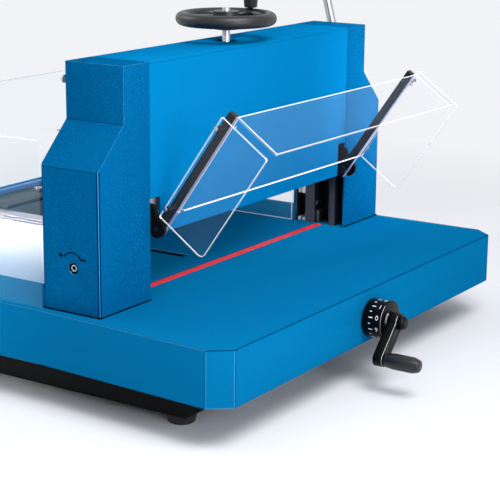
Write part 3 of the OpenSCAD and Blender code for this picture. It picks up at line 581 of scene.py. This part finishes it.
def moulded(name, hue, worn, grain_mm, depth_mm, rough):
    """Moulded polymer: a fine spark-eroded grain from the mould, in duller patches."""
    finish, tree, shader, place = new_finish(name)
    grain = add_node(
        tree, "ShaderNodeTexNoise", {"Vector": place, "Scale": 1000 / grain_mm, "Detail": 2.0}
    )
    hands = add_node(
        tree, "ShaderNodeTexNoise", {"Vector": place, "Scale": 1000 / HANDLED_MM, "Detail": 3.0}
    )
    mix = add_node(
        tree, "ShaderNodeMix",
        {"Factor": hands.outputs["Fac"], "A": linear(hue), "B": linear(worn)},
        data_type="RGBA",
    )
    spread = add_node(
        tree, "ShaderNodeMapRange",
        {"Value": hands.outputs["Fac"], 3: rough - 0.07, 4: rough + 0.09},
    )
    bump = add_node(
        tree, "ShaderNodeBump",
        {"Height": grain.outputs["Fac"], "Strength": 0.6, "Distance": depth_mm / 1000},
    )
    tree.links.new(mix.outputs[2], shader.inputs["Base Color"])
    tree.links.new(spread.outputs[0], shader.inputs["Roughness"])
    tree.links.new(bump.outputs[0], shader.inputs["Normal"])
    return finish


foot_rubber = moulded("moulded_foot_rubber", "161618", "202023", 1.0, 0.05, 0.75)
finish_solid("feet", foot_rubber, 0.8)

# The hand wheel, its knob and the crank's grip: moulded black nylon, satin, and
# smoother where hands have polished it.
black_nylon = moulded("moulded_black_nylon", "0E0F11", "17181B", 0.9, 0.03, 0.38)
for node in ("hand_wheel", "wheel_knob", "crank_grip"):
    finish_solid(node, black_nylon, 1.2)

# The lever's grip: black nylon moulded over the bar's end, with finger grooves round
# its middle that keep the hand from slipping.
GROOVES, GROOVE_STEP_MM, GROOVE_MM, GROOVE_DEEP_MM = 9, 8.5, 1.3, 0.8
CORE_R_MM, BAR_R = 10, 0.006
grip = clean_copy("lever_grip", "lever_grip_piece")
grip_low, grip_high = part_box("lever_grip")
bar_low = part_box("lever_bar")[0]
grip_middle = (grip_low + grip_high) / 2
bar_foot = Vector((grip_middle.x, bar_low.y + BAR_R, bar_low.z + BAR_R))
grip_axis = (grip_middle - bar_foot).normalized()
only(grip)
bpy.ops.object.mode_set(mode="EDIT")
for i in range(GROOVES):
    for edge_mm in (-GROOVE_MM, -GROOVE_MM / 3, GROOVE_MM / 3, GROOVE_MM):
        along = ((i - (GROOVES - 1) / 2) * GROOVE_STEP_MM + edge_mm) / 1000
        bpy.ops.mesh.select_all(action="SELECT")
        bpy.ops.mesh.bisect(plane_co=grip_middle + grip_axis * along, plane_no=grip_axis)
bpy.ops.object.mode_set(mode="OBJECT")
for v in grip.data.vertices:
    along = (v.co - grip_middle).dot(grip_axis) * 1000
    from_groove = abs((along / GROOVE_STEP_MM + 0.5) % 1 - 0.5) * GROOVE_STEP_MM
    outward = v.co - grip_middle - grip_axis * along / 1000
    in_groove = abs(along) < GROOVES * GROOVE_STEP_MM / 2 and from_groove < GROOVE_MM * 0.6
    if in_groove and outward.length > CORE_R_MM / 1000:
        v.co -= outward.normalized() * GROOVE_DEEP_MM / 1000
round_edges(grip, 0.5, 2, 40)
fit(grip, "lever_grip", black_nylon)

# The crank on the front apron: a steel dial, arm and cap in glossy black enamel. The
# front edges of the dial and the arm carry a painted highlight, a fine bright line.
black_enamel = powder_coat("black_enamelled_steel", "050607", "0E0F11", 0.8, 0.02, 0.30, 0.12)
crank_edge_highlight = milled_steel("painted_highlight_on_enamel", "B8BCC4", "D0D3DA", 0.5, 0.3, 0.7)
for node in ("crank_arm", "crank_cap", "crank_dial"):
    part = finish_solid(node, black_enamel, 0.7)
    part.data.materials.append(crank_edge_highlight)
    # Faces turned to the front left take the painted highlight.
    for face in part.data.polygons:
        highlight_face = -0.9 < face.normal.y < -0.5 and face.normal.x < -0.35
        if highlight_face and node != "crank_cap":
            face.material_index = 1

# The numbered dial: plain figures and division lines in dull white ink, printed round
# its rim, so that they follow the curve and read from the front and above.
white_ink = printed_ink("white_screen_ink", "F2F3F5", "D4D6DA")
dial_low, dial_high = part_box("crank_dial")
dial_x = (dial_low.x + dial_high.x) / 2
dial_z = (dial_low.z + dial_high.z) / 2
RIM_R = 0.023
FIGURES, FIGURE_MM, FIGURE_IN_MM, FIGURE_INK_MM = 10, 8.0, 19.0, 0.08
LINES, LONG_LINE_MM, SHORT_LINE_MM, LINE_IN_MM = 20, 5.0, 2.4, 8.5
LINE_WIDE_MM, LINE_THICK_MM = 1.2, 0.3
dial_marks = []
for digit in range(FIGURES):
    bpy.ops.object.text_add(location=(0, 0, 0))
    figure = bpy.context.object
    figure.data.body = str(digit)
    figure.data.size = FIGURE_MM / 1000
    figure.data.align_x = "CENTER"
    figure.data.align_y = "CENTER"
    figure.data.extrude = FIGURE_INK_MM / 1000
    bpy.ops.object.convert(target="MESH")
    turn = math.radians((digit + 0.5) * 360 / FIGURES)
    for v in figure.data.vertices:
        across, up, out = v.co.x, v.co.y, v.co.z
        a = turn + up / RIM_R
        radius = RIM_R + FIGURE_INK_MM / 1000 + out
        v.co = Vector((
            dial_x + radius * -math.cos(a),
            dial_high.y - FIGURE_IN_MM / 1000 - across,
            dial_z + radius * math.sin(a),
        ))
    dial_marks.append(figure)
for line in range(LINES):
    long_mm = LONG_LINE_MM if line % 2 else SHORT_LINE_MM
    bpy.ops.mesh.primitive_cube_add(size=1, location=(0, 0, 0))
    tick = bpy.context.object
    tick.data.transform(
        Matrix.Diagonal((LINE_THICK_MM / 1000, long_mm / 1000, LINE_WIDE_MM / 1000, 1))
    )
    tick_y = dial_high.y - (LINE_IN_MM + long_mm / 2) / 1000
    tick.data.transform(Matrix.Translation((-RIM_R, tick_y, 0)))
    tick.data.transform(Matrix.Rotation(math.radians(line * 360 / LINES), 4, "Y"))
    tick.data.transform(Matrix.Translation((dial_x, 0, dial_z)))
    dial_marks.append(tick)
figures = join_as(dial_marks, "dial_figures")
figures.data.materials.append(white_ink)
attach(figures, "crank")

# The hinged guard's arms: flat aluminium bars that turn on the pins at the columns. They
# are anodised black, and a pale painted reflection lies on their long narrow sides as a
# bright line along each arm.
ETCH_MM, ETCH_DEEP_MM, DYE_CLOUD_MM = 2 / 3, 0.03, 71.4


def anodised(name, hue, worn, rough, metal):
    """Anodised aluminium: an etched satin surface, with a faint cloud in its dye.

    The real etch is far finer than a millimetre; it is drawn coarser, so that it shows.
    """
    finish, tree, shader, place = new_finish(name)
    etch = add_node(
        tree, "ShaderNodeTexNoise", {"Vector": place, "Scale": 1000 / ETCH_MM, "Detail": 2.0}
    )
    cloud = add_node(
        tree, "ShaderNodeTexNoise",
        {"Vector": place, "Scale": 1000 / DYE_CLOUD_MM, "Detail": 3.0},
    )
    mix = add_node(
        tree, "ShaderNodeMix",
        {"Factor": cloud.outputs["Fac"], "A": linear(hue), "B": linear(worn)},
        data_type="RGBA",
    )
    spread = add_node(
        tree, "ShaderNodeMapRange",
        {"Value": etch.outputs["Fac"], 3: rough - 0.05, 4: rough + 0.07},
    )
    bump = add_node(
        tree, "ShaderNodeBump",
        {"Height": etch.outputs["Fac"], "Strength": 0.3, "Distance": ETCH_DEEP_MM / 1000},
    )
    shader.inputs["Metallic"].default_value = metal
    tree.links.new(mix.outputs[2], shader.inputs["Base Color"])
    tree.links.new(spread.outputs[0], shader.inputs["Roughness"])
    tree.links.new(bump.outputs[0], shader.inputs["Normal"])
    return finish


dark_anodised = anodised("black_anodised_bar", "090A0E", "121419", 0.42, 0.3)
arm_painted_reflection = anodised("painted_reflection_on_arm_side", "A6A9C6", "B6B8D2", 0.38, 0.4)
HUB_R, LONG_SIDE_M2 = 0.020, 0.0002
pin_low, pin_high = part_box("guard_pins")
hub_y, hub_z = (pin_low.y + pin_high.y) / 2, (pin_low.z + pin_high.z) / 2
for node in ("left_guard_arm", "right_guard_arm"):
    arm = finish_solid(node, dark_anodised, 0.6)
    arm.data.materials.append(arm_painted_reflection)
    for face in arm.data.polygons:
        away = math.hypot(face.center.y - hub_y, face.center.z - hub_z)
        # The long narrow sides away from the hub take the painted reflection.
        if away > HUB_R and abs(face.normal.x) < 0.3 and face.area > LONG_SIDE_M2:
            face.material_index = 1

# Clear acrylic sheet: the hinged guard's sheet and cheeks, screwed to the arms, and the
# fixed rear guard. It is sawn from cast sheet, and thin white lines of painted highlight
# lie along its edges. The rear guard is older and a little tinted.
HAZE_MM, ACRYLIC_IOR = 166.7, 1.49


def acrylic(name, tint, body):
    """Polished cast acrylic: clear, with a faint tint and a glossy skin, hazy in places."""
    finish, tree, shader, place = new_finish(name)
    haze = add_node(
        tree, "ShaderNodeTexNoise", {"Vector": place, "Scale": 1000 / HAZE_MM, "Detail": 2.0}
    )
    rough = add_node(
        tree, "ShaderNodeMapRange", {"Value": haze.outputs["Fac"], 3: 0.02, 4: 0.06}
    )
    shader.inputs["Base Color"].default_value = linear(tint)
    shader.inputs["IOR"].default_value = ACRYLIC_IOR
    shader.inputs["Alpha"].default_value = body
    tree.links.new(rough.outputs[0], shader.inputs["Roughness"])
    return finish


clear_sheet = acrylic("polished_acrylic_cheek", "DCE8FF", 0.012)
guard_acrylic = acrylic("polished_acrylic_guard", "DCE8FF", 0.022)
hazy_sheet = acrylic("aged_acrylic_sheet", "8AD4EE", 0.05)
acrylic_edge_highlight = acrylic("painted_highlight_acrylic_edge", "FFFFFF", 0.9)
edge_body = acrylic("sawn_acrylic_edge", "ECEEF6", 0.12)
SHEET, EDGE_HIGHLIGHT, DULL, LIP = 0, 1, 2, 3
CORNER_WIDTHS, SAWN_TO_MM = 1.6, 4.5


def clear_piece(node, sheet, width_mm):
    """Sheet faces stay clear, the sheet's edges are dull, and their corners are painted as
    highlights.
    """
    piece = clean_copy(node, node + "_piece")
    round_edges(piece, width_mm, 1)
    fit(piece, node, sheet, acrylic_edge_highlight, edge_body, clear_sheet)
    piece.visible_shadow = False
    for face in piece.data.polygons:
        points = [piece.data.vertices[i].co for i in face.vertices]
        longest = max((a - b).length for a in points for b in points)
        if face.area < longest * width_mm * CORNER_WIDTHS / 1000:
            face.material_index = EDGE_HIGHLIGHT
        elif face.area < longest * SAWN_TO_MM / 1000:
            face.material_index = DULL
    return piece


# The guard stands open at 55 degrees. Its sheet's lower edge is painted as a highlight
# over its whole thickness, and the lip along its upper edge is as clear as the cheeks.
GUARD_OPEN = math.radians(55)
LOWER_EDGE_TO, LIP_FROM = 0.0305, 0.1665
front_sheet = clear_piece("guard_sheet", guard_acrylic, 0.55)
for face in front_sheet.data.polygons:
    forward, up = hub_y - face.center.y, face.center.z - hub_z
    reach = forward * math.cos(GUARD_OPEN) + up * math.sin(GUARD_OPEN)
    if face.material_index == SHEET and reach > LIP_FROM:
        face.material_index = LIP
    if face.material_index != LIP and reach < LOWER_EDGE_TO:
        face.material_index = EDGE_HIGHLIGHT if face.material_index == DULL else SHEET
# The front and lower edges of the rear guard's left wall are polished quite clear.
rear_sheets = clear_piece("rear_guard", hazy_sheet, 0.55)
for face in rear_sheets.data.polygons:
    if face.center.x < 0 and (face.normal.y < -0.3 or face.normal.z < -0.3):
        face.material_index = SHEET
for node in ("left_guard_cheek", "right_guard_cheek"):
    clear_piece(node, clear_sheet, 0.5)

# The side guide: an extruded aluminium fence, screwed down square to the cut, with two
# edge strips on top and a groove between them, its walls painted black as shade. It is
# anodised light and reads as nearly white.
STRIP_SIDE = 0.002
light_anodised = anodised("light_anodised_fence", "FDFDFF", "F8F8FD", 0.34, 0.55)
strip_anodised = anodised("satin_anodised_strip", "D4CFD8", "C4BFCA", 0.30, 0.8)
finish_solid("side_guide", light_anodised, 0.5)
cap_strips = finish_solid("side_guide_cap", strip_anodised, 0.35)
cap_strips.data.materials.append(black_oxide_and_painted_shade)
cap_low, cap_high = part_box("side_guide_cap")
# The groove's upright walls between the strips take the painted shade.
for face in cap_strips.data.polygons:
    between = cap_low.x + STRIP_SIDE < face.center.x < cap_high.x - STRIP_SIDE
    if between and abs(face.normal.x) > 0.9:
        face.material_index = 1

# The back gauge: an anodised aluminium casting that runs over the table on the spindle's
# nut. Its top plate is darker and is held by three bolts, and a blue plastic strip
# stands along its rear edge.
gauge_grey = anodised("grey_anodised_gauge", "6E6A72", "7A767E", 0.42, 0.3)
gauge_dark = anodised("dark_anodised_plate", "19171A", "232125", 0.5, 0.1)
strip_blue = moulded("extruded_blue_strip", "4A70B4", "5B80C2", 0.8, 0.02, 0.55)
finish_solid("gauge_body", gauge_grey, 0.6)
finish_solid("gauge_top", gauge_dark, 0.5)
finish_solid("gauge_strip", strip_blue, 0.5)

# The setting: a pale floor that runs into a pale background, one large soft light from
# the front and above, small fills at the front, the left and behind, and an even
# surround. The floor keeps the object's shadow and fades to plain white away from it.
FLOOR_SIZE, FLOOR_UNDER, FADE_FROM, FADE_TO = 14, 0.0002, 0.55, 1.5
MOTTLE_SIZE = 1 / 3
BACKGROUND_HUE = "F2F3F6"
bpy.ops.mesh.primitive_plane_add(size=FLOOR_SIZE, location=(0, 0, cad_low.z - FLOOR_UNDER))
floor = bpy.context.object
floor.name = "studio_floor"
paper, tree, shader, place = new_finish("pale_studio_floor")
mottle = add_node(tree, "ShaderNodeTexNoise", {"Vector": place, "Scale": 1 / MOTTLE_SIZE})
mix = add_node(
    tree, "ShaderNodeMix",
    {"Factor": mottle.outputs["Fac"], "A": linear("E7E8EC"), "B": linear("E9EAEE")},
    data_type="RGBA",
)
shader.inputs["Roughness"].default_value = 0.9
tree.links.new(mix.outputs[2], shader.inputs["Base Color"])


def seen_rays(tree):
    """1 for what the camera sees, straight, mirrored or through a clear sheet."""
    ray = add_node(tree, "ShaderNodeLightPath").outputs
    straight = {0: ray["Is Camera Ray"], 1: ray["Is Glossy Ray"]}
    seen = add_node(tree, "ShaderNodeMath", straight, operation="MAXIMUM")
    through = {0: seen.outputs[0], 1: ray["Is Transmission Ray"]}
    return add_node(tree, "ShaderNodeMath", through, operation="MAXIMUM").outputs[0]


seen = seen_rays(tree)
away = add_node(tree, "ShaderNodeVectorMath", {0: place}, operation="LENGTH")
fade = add_node(
    tree, "ShaderNodeMapRange",
    {"Value": away.outputs["Value"], 1: FADE_FROM, 2: FADE_TO},
    interpolation_type="SMOOTHSTEP",
)
faded = add_node(tree, "ShaderNodeMath", {0: seen, 1: fade.outputs[0]}, operation="MULTIPLY")
pale = add_node(
    tree, "ShaderNodeEmission", {"Color": linear(BACKGROUND_HUE), "Strength": 1.0}
)
cover = add_node(
    tree, "ShaderNodeMixShader",
    {0: faded.outputs[0], 1: shader.outputs[0], 2: pale.outputs[0]},
)
tree.links.new(cover.outputs[0], tree.nodes["Material Output"].inputs["Surface"])
floor.data.materials.append(paper)

world = bpy.data.worlds.new("studio_surround")
bpy.context.scene.world = world
world.use_nodes = True
tree = world.node_tree
tree.nodes.clear()
lit = add_node(tree, "ShaderNodeBackground", {"Color": linear("F2F4F8"), "Strength": 0.55})
shown = add_node(
    tree, "ShaderNodeBackground", {"Color": linear(BACKGROUND_HUE), "Strength": 1.0}
)
blend = add_node(
    tree, "ShaderNodeMixShader", {0: seen_rays(tree), 1: lit.outputs[0], 2: shown.outputs[0]}
)
add_node(tree, "ShaderNodeOutputWorld", {"Surface": blend.outputs[0]})


def soft_light(name, place, aim, size, power, spread_deg=180):
    """A white softbox at a place, turned to its aim; a small spread keeps it on one part."""
    lamp = bpy.data.lights.new(name, "AREA")
    lamp.spread = math.radians(spread_deg)
    lamp.shape = "RECTANGLE"
    lamp.size, lamp.size_y = size
    lamp.energy = power
    holder = bpy.data.objects.new(name, lamp)
    bpy.context.collection.objects.link(holder)
    holder.location = place
    holder.rotation_mode = "QUATERNION"
    holder.rotation_quaternion = (Vector(aim) - Vector(place)).to_track_quat("-Z", "Y")


soft_light("key_softbox", (-0.6, -1.4, 2.1), (0, 0, 0.1), (1.4, 1.2), 46)
soft_light("front_fill", (-0.8, -1.7, 0.6), (-0.25, -0.1, 0.22), (0.9, 0.5), 1.9, 60)
soft_light("column_fill", (0.2, -1.5, 1.1), (0.34, -0.2, 0.26), (0.2, 0.2), 0.32, 13)
soft_light("side_fill", (-2.1, 1.1, 0.7), (-0.24, 0.15, 0.13), (0.3, 0.3), 0.42, 11)
soft_light("rear_fill", (-0.5, 2.0, 1.7), (0, 0.1, 0.2), (1.2, 0.8), 14)

# The camera stands at the front left, as far away and as high as the photograph's. It
# was solved from the straight edges of the columns, the table and the guard.
LENS_MM, SENSOR_MM = 111.953, 36
CAMERA_AT = Vector((-1.5779, -1.2291, 0.5947))
YAW, PITCH, ROLL = (math.radians(a) for a in (56.653, 14.326, 0.437))
level = Vector((math.sin(YAW), math.cos(YAW), 0))
right = Vector((math.cos(YAW), -math.sin(YAW), 0))
ahead = level * math.cos(PITCH) - Vector((0, 0, math.sin(PITCH)))
upward = level * math.sin(PITCH) + Vector((0, 0, math.cos(PITCH)))
side_axis = right * math.cos(ROLL) + upward * math.sin(ROLL)
top_axis = upward * math.cos(ROLL) - right * math.sin(ROLL)
lens = bpy.data.cameras.new("photograph_view")
lens.lens = LENS_MM
lens.sensor_width = SENSOR_MM
camera = bpy.data.objects.new("photograph_view", lens)
bpy.context.collection.objects.link(camera)
turned = Matrix((side_axis, top_axis, -ahead)).transposed().to_4x4()
camera.matrix_world = Matrix.Translation(CAMERA_AT) @ turned
bpy.context.scene.camera = camera
bpy.context.scene.view_settings.view_transform = "Standard"
